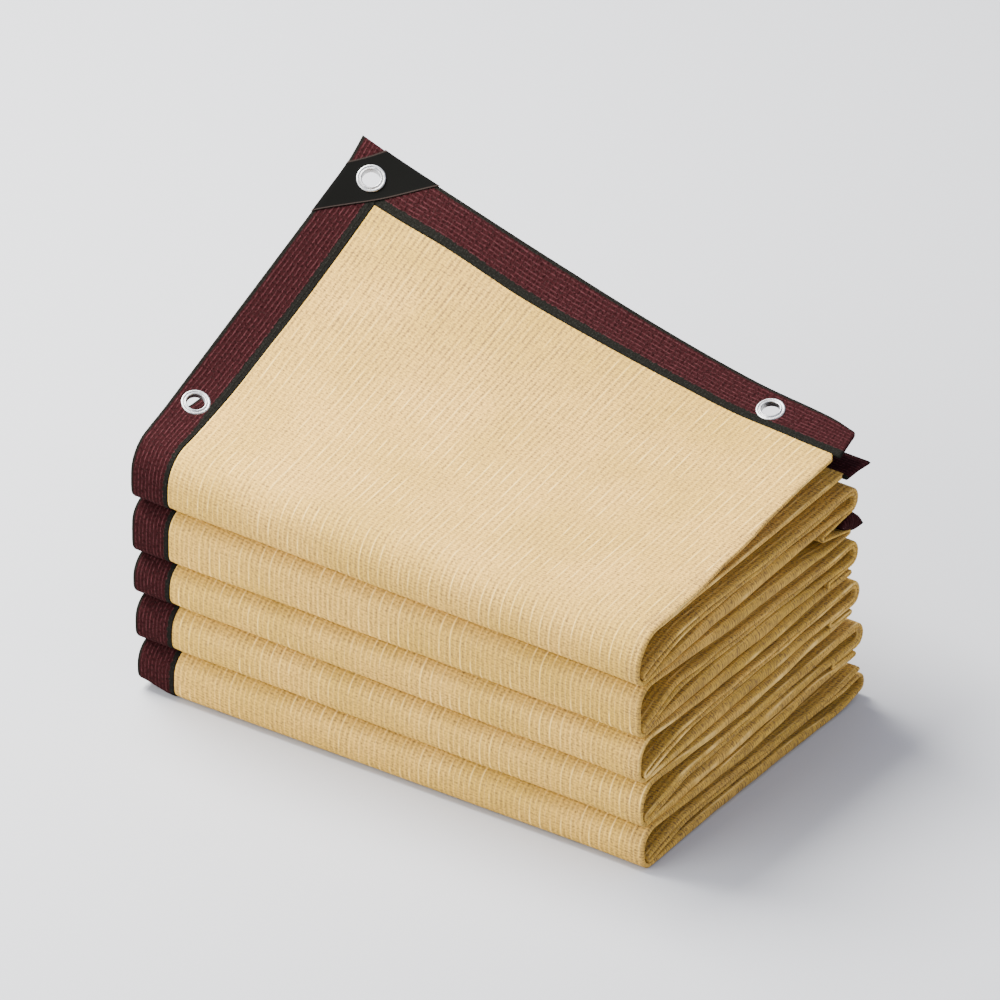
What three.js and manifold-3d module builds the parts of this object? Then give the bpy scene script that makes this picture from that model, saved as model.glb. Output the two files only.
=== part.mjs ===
// A bound mesh shade cloth, folded into a stack of five soft packets with its top ply lifted as a flap.
// Millimetres. x runs along the front of the stack, y from the front to the back, z up from the floor.

import * as THREE from 'three';
import Module from 'manifold-3d';
import { mergeVertices } from 'three/addons/utils/BufferGeometryUtils.js';

const wasm = await Module();
wasm.setup();

// Driving dimensions
const LEFT_END = -1; // outer edge of the side binding on the lowest packet
const RIGHT_END = 512; // right end of the lowest packet
const SHEET = 3; // thickness of a ply of cloth or binding
const SEAM = 0.3; // space between pieces that are sewn or pressed together
const PLY_GAP = 0.6; // least space between two plies that lie together
const TAPE_WIDTH = 36.5; // inner edge of the side binding
const FLAP_LEFT = -6;
const FLAP_RIGHT = 506;
const FLAP_FRONT = 10; // depth at which the flap starts to rise
const FLAP_INNER = 311; // inner edge of the far binding on the flap
const FLAP_FAR = 349;
const FLAP_CUT = 34; // depth at which the flap's side binding starts
const NOSE_TOP = 30; // radius of the bend from the flap into the front wall
const NOSE_UPPER = 19; // the same on the packets below
const NOSE_LOWER = 11; // radius of the bend under a front wall
const NOSE_INSET = 8.5; // depth of the bend inside the front wall

// One row for each packet, top to bottom. left and right are its underside at the two ends of the
// front, loopLeft and loopRight the middle of its back loop, back its depth, shift its offset along x,
// notch the height of the nip between this packet's back loop and the ply below it.
const PACKETS = [
  { left: 185, right: 177, loopLeft: 209, loopRight: 204, back: 330, shift: -5, notch: 17.5 },
  { left: 135, right: 134, loopLeft: 154, loopRight: 149, back: 331, shift: -5, notch: 5 },
  { left: 95, right: 87, loopLeft: 111, loopRight: 105, back: 333, shift: -4, notch: 5 },
  { left: 50, right: 43, loopLeft: 68, loopRight: 62, back: 336, shift: -2, notch: 5 },
  { left: 0, right: 0, loopLeft: 12, loopRight: 12, back: 340, shift: 0, notch: 5 },
];
const STACK_TOP = { left: 239, right: 227 };
const LOOP_HALF = 7; // half height of a back loop, at mid thickness
const LOOP_LENGTH = 48;
const NIP_DEPTH = 27; // how far the nip under a back loop goes in
const TIP_DEPTH = 9; // how far the ply below it stays back from the loop's end
const BEND = 2; // radius of the tightest bends, at mid thickness
const BEND_RISE = 5; // between the two plies of a tight bend at the back
const FRONT_RISE = 5.6; // between the two plies of the bend inside the front wall

// Height of the flap's upper face along the front, along the far binding's inner edge and along its
// far edge. power shapes the rise from front to inner edge: 1 is straight, more starts flatter.
const FLAP_ROWS = [
  { x: -6, front: 239, inner: 349, far: 371, power: 1.0 },
  { x: 36, front: 238, inner: 332.5, far: 357, power: 1.35 },
  { x: 102, front: 236, inner: 317, far: 338, power: 1.5 },
  { x: 184, front: 234, inner: 293, far: 315, power: 1.5 },
  { x: 293, front: 232, inner: 271, far: 286.5, power: 1.4 },
  { x: 393, front: 229, inner: 255, far: 265.5, power: 1.15 },
  { x: 466, front: 227, inner: 250, far: 257.5, power: 0.9 },
  { x: 506, front: 225, inner: 248, far: 251, power: 0.85 },
];
const FLAP_COLUMNS = ['front', 'inner', 'far', 'power'];
const FLAP_DEPTHS = [FLAP_INNER - SEAM, 268, 226, 184, 142, 102, 66];

// The hidden ply under the flap: where it leaves the flap, where it is clear of it, and its mid
// thickness from there on, left and right.
const UNDER_JOIN = 24;
const UNDER_CLEAR = 33.5;
const UNDER_PLY = [
  { y: 90, left: 234, right: 223.5 },
  { y: 190, left: 231, right: 224.5 },
  { y: 311.7, left: 229, right: 226.5 },
];

// Places along x where the section is worked out.
const CLOTH_STATIONS = [TAPE_WIDTH + SEAM, 110, 190, 290, 350, 430, RIGHT_END];
const TAPE_STATIONS = [LEFT_END, 20, TAPE_WIDTH];

// Eyelets: middle in plan, and what the ring clamps.
const EYELETS = [
  { name: 'eyelet_corner', x: 18, y: 326, patched: true },
  { name: 'eyelet_side', x: 12.5, y: 70, patched: false },
  { name: 'eyelet_far', x: 422.5, y: 330, patched: false },
];
const EYELET_OUTER = 12.7; // radii
const EYELET_HOLE = 8;
const EYELET_BARREL = 9.4;
const FLANGE = 1.5; // height of the rolled flange above the sheet
const CLEAR_REACH = 4; // how far the space cleared for a ring reaches past its flanges
const PATCH = { inner: 24, outer: 77, lift: 0.9, thickness: 1 };

const COLOURS = {
  cloth: 0xdfc999,
  tape: 0x4e1c22,
  patch: 0x20201e,
  metal: 0xc9cbcc,
};

function finish(colour, roughness, metalness) {
  return new THREE.MeshStandardMaterial({ color: colour, roughness, metalness });
}

const MATERIALS = {
  cloth: finish(COLOURS.cloth, 0.85, 0),
  tape: finish(COLOURS.tape, 0.8, 0),
  patch: finish(COLOURS.patch, 0.5, 0),
  metal: finish(COLOURS.metal, 0.3, 0.9),
};

function mix(a, b, t) {
  return a + (b - a) * t;
}

function alongStack(x) {
  return (x - LEFT_END) / (RIGHT_END - LEFT_END);
}

// Slope of a column of a table at row i, from its neighbours.
function rowSlope(rows, i, column) {
  const a = rows[Math.max(i - 1, 0)];
  const b = rows[Math.min(i + 1, rows.length - 1)];
  return (b[column] - a[column]) / (b.x - a.x);
}

// A smooth reading of one column of the flap's table.
function readFlap(column, x) {
  const rows = FLAP_ROWS;
  let i = 0;
  while (i < rows.length - 2 && x > rows[i + 1].x) i += 1;
  const [a, b] = [rows[i], rows[i + 1]];
  const w = b.x - a.x;
  const t = THREE.MathUtils.clamp((x - a.x) / w, 0, 1);
  const startWeight = (1 + 2 * t) * (1 - t) ** 2;
  const startSlope = rowSlope(rows, i, column) * w * t * (1 - t) ** 2;
  const endSlope = rowSlope(rows, i + 1, column) * w * t * t * (1 - t);
  return a[column] * startWeight + b[column] * (1 - startWeight) + startSlope - endSlope;
}

// Height of the flap at mid thickness.
function flapMid(x, y) {
  const [front, inner, far, power] = FLAP_COLUMNS.map((column) => readFlap(column, x));
  const run = FLAP_INNER - FLAP_FRONT;
  const middle = -SHEET / 2;
  if (y <= FLAP_INNER) {
    const t = Math.max((y - FLAP_FRONT) / run, 0);
    return front + (inner - front) * t ** power + middle;
  }
  const slope = ((inner - front) * power) / run;
  const lip = FLAP_FAR - FLAP_INNER;
  const s = (y - FLAP_INNER) / lip;
  return inner + slope * lip * s + (far - inner - slope * lip) * s * s + middle;
}

// Turns a row of corners, each with a radius and a number of steps, into points with rounded bends.
function roundCorners(corners) {
  const points = [];
  corners.forEach((corner, i) => {
    if (!corner.radius) {
      points.push({ y: corner.y, z: corner.z, shift: corner.shift });
      return;
    }
    const here = new THREE.Vector2(corner.y, corner.z);
    const before = new THREE.Vector2(corners[i - 1].y, corners[i - 1].z).sub(here).normalize();
    const after = new THREE.Vector2(corners[i + 1].y, corners[i + 1].z).sub(here).normalize();
    const half = Math.acos(THREE.MathUtils.clamp(before.dot(after), -1, 1)) / 2;
    const reach = corner.radius / Math.tan(half);
    const middle = before.clone().add(after).normalize().multiplyScalar(corner.radius / Math.sin(half));
    middle.add(here);
    const start = here.clone().addScaledVector(before, reach).sub(middle);
    const end = here.clone().addScaledVector(after, reach).sub(middle);
    let turn = end.angle() - start.angle();
    if (turn > Math.PI) turn -= 2 * Math.PI;
    if (turn < -Math.PI) turn += 2 * Math.PI;
    for (let n = 0; n <= corner.steps; n += 1) {
      const p = start.clone().rotateAround(new THREE.Vector2(), (turn * n) / corner.steps).add(middle);
      points.push({ y: p.x, z: p.y, shift: corner.shift });
    }
  });
  return points;
}

// The sizes of packet k at a place along x.
function packetAt(k, x) {
  const row = PACKETS[k];
  const t = alongStack(x);
  const top = k === 0 ? mix(STACK_TOP.left, STACK_TOP.right, t) : mix(PACKETS[k - 1].left, PACKETS[k - 1].right, t);
  return {
    ...row,
    bottom: mix(row.left, row.right, t),
    top,
    loop: mix(row.loopLeft, row.loopRight, t),
    lowest: k === PACKETS.length - 1,
  };
}

// The front wall of a packet, from its shoulder down to the floor of the packet.
function frontWall(packet, shoulder, radius) {
  const front = SHEET / 2;
  return [
    { y: front, z: shoulder, radius, steps: 4 },
    { y: front, z: packet.bottom + front, radius: NOSE_LOWER, steps: 3 },
  ];
}

// The lowest ply of a packet, its back loop, and the ply that returns over it to the front.
function lowerPlies(packet) {
  const { bottom, top, loop, back, lowest } = packet;
  const inside = back - SHEET * 1.5 - PLY_GAP;
  const rise = lowest ? 0 : 0.13 * (top - bottom);
  const flatTo = lowest ? 240 : 120;
  const radius = LOOP_HALF * 0.9;
  return [
    { y: flatTo, z: bottom + SHEET / 2 + rise },
    { y: back - LOOP_LENGTH, z: loop - LOOP_HALF },
    { y: inside, z: loop - LOOP_HALF, radius, steps: 3 },
    { y: inside, z: loop + LOOP_HALF, radius, steps: 3 },
    { y: back - LOOP_LENGTH, z: loop + LOOP_HALF - 2 },
    { y: 66, z: mix(bottom, top, 0.5) - 2.2, radius: 60, steps: 1 },
    { y: NOSE_INSET, z: bottom + 5.6, radius: BEND, steps: 2 },
    { y: NOSE_INSET, z: bottom + 5.6 + FRONT_RISE, radius: BEND, steps: 2 },
  ];
}

// The ply that runs back over the loop, hugs it, and turns into the top ply of the next packet.
function upperPlies(packet, next) {
  const { bottom, top, loop, back } = packet;
  const hug = LOOP_HALF + SHEET + PLY_GAP;
  const run = [
    { y: 62, z: mix(bottom, top, 0.5) + 3.4, radius: 60, steps: 1 },
    { y: back - LOOP_LENGTH, z: loop + hug - 2.4 },
  ];
  if (!next) return [...run, { y: back - TIP_DEPTH, z: loop + hug + 4 }];
  const under = loop - hug;
  const nip = back - NIP_DEPTH;
  const tip = back - TIP_DEPTH;
  const ply = under - packet.notch;
  return [
    ...run,
    { y: back - SHEET / 2, z: loop + hug, radius: hug * 0.9, steps: 3 },
    { y: back - SHEET / 2, z: under, radius: hug * 0.9, steps: 3 },
    { y: nip, z: under, radius: BEND, steps: 2 },
    { y: nip, z: ply, radius: BEND, steps: 2 },
    { y: tip, z: ply, radius: BEND, steps: 2 },
    { y: tip, z: ply - BEND_RISE, radius: BEND, steps: 2 },
    { y: 150, z: next.top - SHEET / 2 - 3, shift: next.shift },
  ];
}

// All corners of the folded sheet below the flap, from the first shoulder to the free end.
function foldCorners(x) {
  const corners = [];
  PACKETS.forEach((row, k) => {
    const packet = packetAt(k, x);
    const next = k + 1 < PACKETS.length ? packetAt(k + 1, x) : null;
    const shoulder = k === 0 ? flapMid(x + row.shift, FLAP_FRONT) : packet.top - SHEET / 2 - PLY_GAP;
    const wall = frontWall(packet, shoulder, k === 0 ? NOSE_TOP : NOSE_UPPER);
    const plies = [...wall, ...lowerPlies(packet), ...upperPlies(packet, next)];
    corners.push(...plies.map((corner) => ({ shift: row.shift, ...corner })));
  });
  return corners;
}

// The whole sheet at x: flap points from the given depths, then the folds.
function sheetPath(x, depths) {
  const shift = PACKETS[0].shift;
  const flap = depths.map((y) => ({ y, z: flapMid(x + shift, y), shift }));
  return roundCorners([...flap, ...foldCorners(x)]);
}

// Offsets a path to both sides and closes it as an outline.
function thicken(path, thickness) {
  const sides = [[], []];
  path.forEach((point, i) => {
    const a = path[Math.max(i - 1, 0)];
    const b = path[Math.min(i + 1, path.length - 1)];
    const into = new THREE.Vector2(point.y - a.y, point.z - a.z);
    const out = new THREE.Vector2(b.y - point.y, b.z - point.z);
    if (!into.lengthSq()) into.copy(out);
    if (!out.lengthSq()) out.copy(into);
    const along = into.normalize().clone().add(out.normalize()).normalize();
    const widen = 1 / Math.max(along.dot(into), 0.5);
    const reach = (thickness / 2) * widen;
    const { shift } = point;
    sides[0].push({ y: point.y - along.y * reach, z: point.z + along.x * reach, shift });
    sides[1].push({ y: point.y + along.y * reach, z: point.z - along.x * reach, shift });
  });
  return [...sides[0], ...sides[1].reverse()];
}

// A closed solid from one outline at each station along x.
function loft(stations, outlineAt) {
  const outlines = stations.map(outlineAt);
  const count = outlines[0].length;
  const positions = [];
  outlines.forEach((outline, i) => {
    outline.forEach((p) => positions.push(stations[i] + (p.shift || 0), p.y, p.z));
  });
  const index = [];
  for (let i = 0; i < stations.length - 1; i += 1) {
    for (let j = 0; j < count; j += 1) {
      const a = i * count + j;
      const b = i * count + ((j + 1) % count);
      index.push(a, b, b + count, a, b + count, a + count);
    }
  }
  const last = (stations.length - 1) * count;
  for (let i = 0; i < count / 2 - 1; i += 1) {
    const [a, b, c, d] = [i, i + 1, count - 2 - i, count - 1 - i];
    index.push(a, c, b, a, d, c);
    index.push(last + a, last + b, last + c, last + a, last + c, last + d);
  }
  return solid(positions, index);
}

// A manifold solid from vertices and triangles, turned the right way out.
function solid(positions, index) {
  const make = (triVerts) =>
    new wasm.Manifold(new wasm.Mesh({ numProp: 3, vertProperties: new Float32Array(positions), triVerts }));
  const triVerts = new Uint32Array(index);
  const made = make(triVerts);
  if (made.volume() > 0) return made;
  for (let i = 0; i < triVerts.length; i += 3) {
    [triVerts[i + 1], triVerts[i + 2]] = [triVerts[i + 2], triVerts[i + 1]];
  }
  return make(triVerts);
}

// A manifold solid from a closed three.js geometry.
function solidOf(geometry) {
  const bare = geometry.clone();
  bare.deleteAttribute('normal');
  bare.deleteAttribute('uv');
  const merged = mergeVertices(bare, 1e-4);
  return solid([...merged.attributes.position.array], [...merged.index.array]);
}

function meshOf(name, shape, material) {
  const made = shape.getMesh();
  const geometry = new THREE.BufferGeometry();
  geometry.setAttribute('position', new THREE.BufferAttribute(new Float32Array(made.vertProperties), 3));
  geometry.setIndex(new THREE.BufferAttribute(new Uint32Array(made.triVerts), 1));
  geometry.computeVertexNormals();
  const mesh = new THREE.Mesh(geometry, material);
  mesh.name = name;
  return mesh;
}

// The hidden ply under the flap: it leaves the flap close behind the shoulder and runs to the back.
function underPath(x) {
  const shift = PACKETS[0].shift;
  const t = alongStack(x);
  const lines = [
    { y: UNDER_JOIN, z: flapMid(x + shift, UNDER_JOIN) - 0.8 },
    { y: UNDER_CLEAR, z: flapMid(x + shift, UNDER_CLEAR) - SHEET - 1.2 },
    ...UNDER_PLY.map((row) => ({ y: row.y, z: mix(row.left, row.right, t) })),
  ];
  return lines.map((point) => ({ ...point, shift }));
}

// The sheet through all folds, with the hidden ply joined to it.
function foldedSheet(stations, depths) {
  const sheet = loft(stations, (x) => thicken(sheetPath(x, depths), SHEET));
  const under = loft(stations, (x) => thicken(underPath(x), SHEET));
  return sheet.add(under);
}

// The side binding on the flap, out to the far corner.
function makeSideTapeFlap() {
  const depths = [FLAP_FAR, 338, 327, 316, 305, 294, 283, 272, 240, 205, 165, 125, 92, 80, 69, 59, 50, 42, FLAP_CUT];
  const xs = [FLAP_LEFT, 4, 14, 24, TAPE_WIDTH + PACKETS[0].shift];
  return loft(xs, (x) => thicken(depths.map((y) => ({ y, z: flapMid(x, y) })), SHEET));
}

// The far binding on the flap.
function makeFarTapeFlap() {
  const start = TAPE_WIDTH + PACKETS[0].shift + SEAM;
  const xs = [start, 45, 55, 65, 80, 110, 150, 190, 235, 290, 340, 390, 420, 460, FLAP_RIGHT];
  const depths = [FLAP_FAR, 338, 328, 318, FLAP_INNER];
  return loft(xs, (x) => thicken(depths.map((y) => ({ y, z: flapMid(x, y) })), SHEET));
}

// The binding on the edge of the hidden ply under the flap.
function makeUnderTapeUpper() {
  const rows = [
    { y: 312, left: 229, right: 226.5 },
    { y: 330, left: 230, right: 226.5 },
    { y: 348, left: 228, right: 224.5 },
  ];
  const xs = [0, 170, 340, RIGHT_END];
  return loft(xs, (x) => thicken(rows.map((row) => ({ y: row.y, z: mix(row.left, row.right, alongStack(x)) })), SHEET));
}

// The binding on the ply end in the nip under the top packet.
function makeUnderTapeLower() {
  const inner = PACKETS[0].back - NIP_DEPTH + SHEET / 2 + SEAM;
  const rows = [
    { y: inner, left: 187.5, right: 183 },
    { y: 319, left: 186.5, right: 181.5 },
    { y: 334, left: 181.5, right: 176.5 },
  ];
  const xs = [0, 170, 340, 508];
  return loft(xs, (x) => thicken(rows.map((row) => ({ y: row.y, z: mix(row.left, row.right, alongStack(x)) })), SHEET));
}

// The corner patch: a band across the corner at 45 degrees, lying on the binding.
function makeCornerPatch() {
  const rows = 6;
  const columns = 9;
  const positions = [];
  const index = [];
  const layer = (rows + 1) * (columns + 1);
  const low = SHEET / 2 + PATCH.lift;
  [low, low + PATCH.thickness].forEach((height) => {
    for (let r = 0; r <= rows; r += 1) {
      const leg = mix(PATCH.inner, PATCH.outer, r / rows);
      for (let c = 0; c <= columns; c += 1) {
        const x = FLAP_LEFT + (leg * c) / columns;
        const y = FLAP_FAR - leg * (1 - c / columns);
        positions.push(x, y, flapMid(x, y) + height);
      }
    }
  });
  const at = (r, c, top) => top * layer + r * (columns + 1) + c;
  const quad = (a, b, c, d) => index.push(a, b, c, a, c, d);
  for (let r = 0; r < rows; r += 1) {
    for (let c = 0; c < columns; c += 1) {
      quad(at(r, c, 1), at(r, c + 1, 1), at(r + 1, c + 1, 1), at(r + 1, c, 1));
      quad(at(r, c, 0), at(r + 1, c, 0), at(r + 1, c + 1, 0), at(r, c + 1, 0));
    }
    quad(at(r, 0, 0), at(r, 0, 1), at(r + 1, 0, 1), at(r + 1, 0, 0));
    quad(at(r, columns, 1), at(r, columns, 0), at(r + 1, columns, 0), at(r + 1, columns, 1));
  }
  for (let c = 0; c < columns; c += 1) {
    quad(at(0, c, 0), at(0, c + 1, 0), at(0, c + 1, 1), at(0, c, 1));
    quad(at(rows, c, 0), at(rows, c, 1), at(rows, c + 1, 1), at(rows, c + 1, 0));
  }
  return solid(positions, index);
}

// Where an eyelet stands: its middle on the sheet, turned so that its axis is the sheet's normal.
function eyeletPlace(eyelet) {
  const step = 8;
  const { x, y } = eyelet;
  const slopeX = (flapMid(x + step, y) - flapMid(x - step, y)) / (2 * step);
  const slopeY = (flapMid(x, y + step) - flapMid(x, y - step)) / (2 * step);
  const normal = new THREE.Vector3(-slopeX, -slopeY, 1).normalize();
  const turn = new THREE.Quaternion().setFromUnitVectors(new THREE.Vector3(0, 1, 0), normal);
  return new THREE.Matrix4().compose(new THREE.Vector3(x, y, flapMid(x, y)), turn, new THREE.Vector3(1, 1, 1));
}

// The section of an eyelet's ring, as a closed profile round its axis.
function ringProfile(above, below) {
  const lip = EYELET_OUTER - 1.2;
  const rim = [
    [EYELET_BARREL, below],
    [EYELET_OUTER, below],
    [EYELET_OUTER, below - 0.5 * FLANGE],
    [lip, below - FLANGE],
    [EYELET_HOLE + 1, below - FLANGE],
    [EYELET_HOLE, below - 0.4 * FLANGE],
    [EYELET_HOLE, above + 0.4 * FLANGE],
    [EYELET_HOLE + 1, above + FLANGE],
    [lip, above + FLANGE],
    [EYELET_OUTER, above + 0.5 * FLANGE],
    [EYELET_OUTER, above],
    [EYELET_BARREL, above],
    [EYELET_BARREL, below],
  ];
  return rim.map(([r, h]) => new THREE.Vector2(r, h));
}

// The space to clear for a ring: its barrel's hole, and room for both flanges.
function spaceProfile(above, below) {
  const barrel = EYELET_BARREL + SEAM;
  const outer = EYELET_OUTER + SEAM;
  const rim = [
    [0, below - CLEAR_REACH],
    [outer, below - CLEAR_REACH],
    [outer, below + SEAM],
    [barrel, below + SEAM],
    [barrel, above - SEAM],
    [outer, above - SEAM],
    [outer, above + CLEAR_REACH],
    [0, above + CLEAR_REACH],
  ];
  return rim.map(([r, h]) => new THREE.Vector2(r, h));
}

// An eyelet's ring and the space to clear for it in the sheet.
function makeEyelet(eyelet) {
  const sides = 28;
  const below = -SHEET / 2 - SEAM;
  const above = SHEET / 2 + SEAM + (eyelet.patched ? PATCH.lift + PATCH.thickness : 0);
  const place = eyeletPlace(eyelet);
  const lathe = (profile) => solidOf(new THREE.LatheGeometry(profile, sides).applyMatrix4(place));
  return { ring: lathe(ringProfile(above, below)), space: lathe(spaceProfile(above, below)) };
}

function build() {
  const eyelets = EYELETS.map((eyelet) => ({ ...eyelet, ...makeEyelet(eyelet) }));
  const cut = (shape) => eyelets.reduce((rest, eyelet) => rest.subtract(eyelet.space), shape);
  const root = new THREE.Group();
  root.add(meshOf('cloth', foldedSheet(CLOTH_STATIONS, FLAP_DEPTHS), MATERIALS.cloth));
  const folds = foldedSheet(TAPE_STATIONS, [FLAP_CUT - SEAM]);
  root.add(meshOf('side_tape_folds', folds, MATERIALS.tape));
  root.add(meshOf('side_tape_flap', cut(makeSideTapeFlap()), MATERIALS.tape));
  root.add(meshOf('far_tape_flap', cut(makeFarTapeFlap()), MATERIALS.tape));
  root.add(meshOf('under_tape_upper', makeUnderTapeUpper(), MATERIALS.tape));
  root.add(meshOf('under_tape_lower', makeUnderTapeLower(), MATERIALS.tape));
  root.add(meshOf('corner_patch', cut(makeCornerPatch()), MATERIALS.patch));
  eyelets.forEach((eyelet) => root.add(meshOf(eyelet.name, eyelet.ring, MATERIALS.metal)));
  return root;
}

// The origin is the middle of the underside of the whole object's box.
function centre(root) {
  const box = new THREE.Box3().setFromObject(root);
  const middle = box.getCenter(new THREE.Vector3());
  root.position.set(-middle.x, -middle.y, -box.min.z);
  return root;
}

export default centre(build());
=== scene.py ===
"""Looks of a folded mesh shade canopy: knitted cloth, edge binding, corner patch and eyelets."""

import math

import bpy
from mathutils import Matrix, Vector, noise


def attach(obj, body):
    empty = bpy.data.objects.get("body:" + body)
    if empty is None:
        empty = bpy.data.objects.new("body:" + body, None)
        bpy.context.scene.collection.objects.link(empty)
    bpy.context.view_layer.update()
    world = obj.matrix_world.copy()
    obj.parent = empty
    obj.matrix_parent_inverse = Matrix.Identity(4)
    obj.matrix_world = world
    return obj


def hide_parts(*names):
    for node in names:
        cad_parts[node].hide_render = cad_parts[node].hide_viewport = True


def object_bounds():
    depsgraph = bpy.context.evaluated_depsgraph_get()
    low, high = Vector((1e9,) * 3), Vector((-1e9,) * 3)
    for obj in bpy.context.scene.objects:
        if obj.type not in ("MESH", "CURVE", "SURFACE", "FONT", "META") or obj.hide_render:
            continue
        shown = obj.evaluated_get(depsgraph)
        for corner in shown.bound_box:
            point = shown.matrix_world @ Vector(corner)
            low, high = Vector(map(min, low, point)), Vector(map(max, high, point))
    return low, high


bl_info = {
    "name": "Folded mesh shade canopy",
    "version": (1, 0, 0),
    "blender": (4, 5, 0),
    "location": "View3D > Sidebar > Canopy",
    "description": "Builds the cloth, binding, patch and eyelets of a folded mesh shade canopy",
    "category": "Object",
}

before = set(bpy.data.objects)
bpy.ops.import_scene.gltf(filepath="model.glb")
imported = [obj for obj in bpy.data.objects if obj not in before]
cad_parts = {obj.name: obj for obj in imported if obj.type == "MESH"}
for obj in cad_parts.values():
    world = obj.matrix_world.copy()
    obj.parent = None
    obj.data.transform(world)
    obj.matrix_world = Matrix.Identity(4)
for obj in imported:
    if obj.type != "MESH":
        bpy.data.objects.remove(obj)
CAD_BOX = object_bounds()
MM = 0.001

# The stack's own axes, in millimetres: x along the front from the left, y from the front to the
# back, z up. The flap's left edge is at x = -6 and the front folds touch y = 0.
FLAP_LEFT = -6.0
ORIGIN = Vector((CAD_BOX[0].x - FLAP_LEFT * MM, CAD_BOX[0].y, CAD_BOX[0].z))


def place(x, y, z):
    """A point of the stack, in the frame's metres."""
    return ORIGIN + Vector((x, y, z)) * MM


# Main sizes, in millimetres
LEFT_END = -1.0
RIGHT_END = 512.0
SHEET = 3.0
PLY_GAP = 0.6
TAPE_WIDTH = 36.5
FLAP_FRONT = 10.0
FLAP_INNER = 311.0
FLAP_FAR = 349.0
FLAP_RIGHT = 506.0
LOOP_HALF = 7.0
LOOP_LENGTH = 48.0
NIP_DEPTH = 45.0
TIP_DEPTH = 12.0
BEND = 2.1
BEND_RISE = 5.0
FRONT_RISE = 5.6
STACK_TOP = (239.0, 227.0)
TOP_FRONT = 0.4
TOP_SHOULDER = 31.0
SHOULDER = 19.0
FRONT_FOOT = 11.0
FRONT_TURN = 5.4
LOWEST_LIFT = 6.0

# One row a packet, top to bottom: underside left and right, back loop left and right, depth of the
# back, offset along x, height of the nip under the back loop.
PACKET_COLUMNS = ("left", "right", "loop_left", "loop_right", "back", "shift", "notch")
PACKETS = [
    dict(zip(PACKET_COLUMNS, row))
    for row in (
        (186, 179, 204, 199, 333, -5, 18.0),
        (132, 127, 151, 145, 334, -5, 5.0),
        (91, 82.5, 111, 105, 335, -4, 5.0),
        (46.5, 39.5, 69, 63, 337, -2, 5.0),
        (0, 0, 15, 15, 341, 0, 5.0),
    )
]

# The flap's upper face: height at the front, at the far binding's inner edge and at the far edge,
# and how the rise is shaped.
FLAP_COLUMNS = ("x", "front", "inner", "far", "power")
FLAP_ROWS = [
    dict(zip(FLAP_COLUMNS, row))
    for row in (
        (-6, 239, 349, 371, 1.0),
        (36, 238, 332.5, 357, 1.35),
        (102, 236, 317, 338, 1.5),
        (184, 234, 293, 315, 1.5),
        (293, 232, 271, 286.5, 1.4),
        (393, 229, 255, 265.5, 1.15),
        (466, 227, 250, 257, 0.9),
        (506, 225, 248, 250, 0.85),
    )
]

# The hidden ply under the flap: depth, then height left and right.
UNDER_PLY = [(90, 234.0, 223.5), (190, 231.0, 224.5), (311.7, 229.0, 226.5)]

# The strips of binding on hidden plies that show at the back right: depth, height left and right.
UPPER_STRIP = [(312, 229, 226.5), (330, 230, 226.5), (348, 228, 224.5)]
LOWER_STRIP = [(304.8, 187, 181.5), (318, 184, 178.5), (326, 181, 175), (338, 176, 169.5)]
LOWER_STRIP_END = 511.5
LOWER_STRIP_SWELL = 10.0

# The eyelets: node, place on the flap, and the sheets that each one goes through.
EYELETS = (
    ("eyelet_corner", 18.0, 326.0, ("binding_side", "corner_patch_sheet")),
    ("eyelet_side", 12.5, 70.0, ("binding_side",)),
    ("eyelet_far", 422.5, 330.0, ("binding_far",)),
)


def mix(a, b, t):
    return a + (b - a) * t


def smooth(t):
    """0 to 1 with soft ends, for t from 0 to 1."""
    t = min(max(t, 0.0), 1.0)
    return t * t * (3 - 2 * t)


def along_stack(x):
    """0 at the stack's left end and 1 at its right end."""
    return (x - LEFT_END) / (RIGHT_END - LEFT_END)


def row_slope(i, column):
    """Slope of a column of the flap's table at one of its rows."""
    a, b = FLAP_ROWS[max(i - 1, 0)], FLAP_ROWS[min(i + 1, len(FLAP_ROWS) - 1)]
    return (b[column] - a[column]) / (b["x"] - a["x"])


def read_flap(column, x):
    """A smooth reading of one column of the flap's table."""
    i = 0
    while i < len(FLAP_ROWS) - 2 and x > FLAP_ROWS[i + 1]["x"]:
        i += 1
    a, b = FLAP_ROWS[i], FLAP_ROWS[i + 1]
    w = b["x"] - a["x"]
    t = min(max((x - a["x"]) / w, 0.0), 1.0)
    first = (1 + 2 * t) * (1 - t) ** 2
    rise = row_slope(i, column) * w * t * (1 - t) ** 2
    fall = row_slope(i + 1, column) * w * t * t * (1 - t)
    return a[column] * first + b[column] * (1 - first) + rise - fall


FLAP_CACHE = {}


def flap_mid(x, y):
    """Height of the flap at mid thickness."""
    if x not in FLAP_CACHE:
        FLAP_CACHE[x] = [read_flap(c, x) for c in FLAP_COLUMNS[1:]]
    front, inner, far, power = FLAP_CACHE[x]
    run = FLAP_INNER - FLAP_FRONT
    if y <= FLAP_INNER:
        t = max((y - FLAP_FRONT) / run, 0.0)
        return front + (inner - front) * t**power - SHEET / 2
    slope = (inner - front) * power / run
    lip = FLAP_FAR - FLAP_INNER
    s = (y - FLAP_INNER) / lip
    return inner + slope * lip * s + (far - inner - slope * lip) * s * s - SHEET / 2


def packet_at(k, x):
    """One packet's heights at a place along the stack; the lowest one's left edge lifts."""
    row = PACKETS[k]
    t = along_stack(x)
    above = STACK_TOP if k == 0 else (PACKETS[k - 1]["left"], PACKETS[k - 1]["right"])
    lowest = k == len(PACKETS) - 1
    lift = LOWEST_LIFT * smooth((32.0 - x) / 33.0) if lowest else 0.0
    return {
        **row,
        "bottom": mix(row["left"], row["right"], t) + lift,
        "top": mix(above[0], above[1], t),
        "loop": mix(row["loop_left"], row["loop_right"], t),
        "lowest": lowest,
    }


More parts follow.
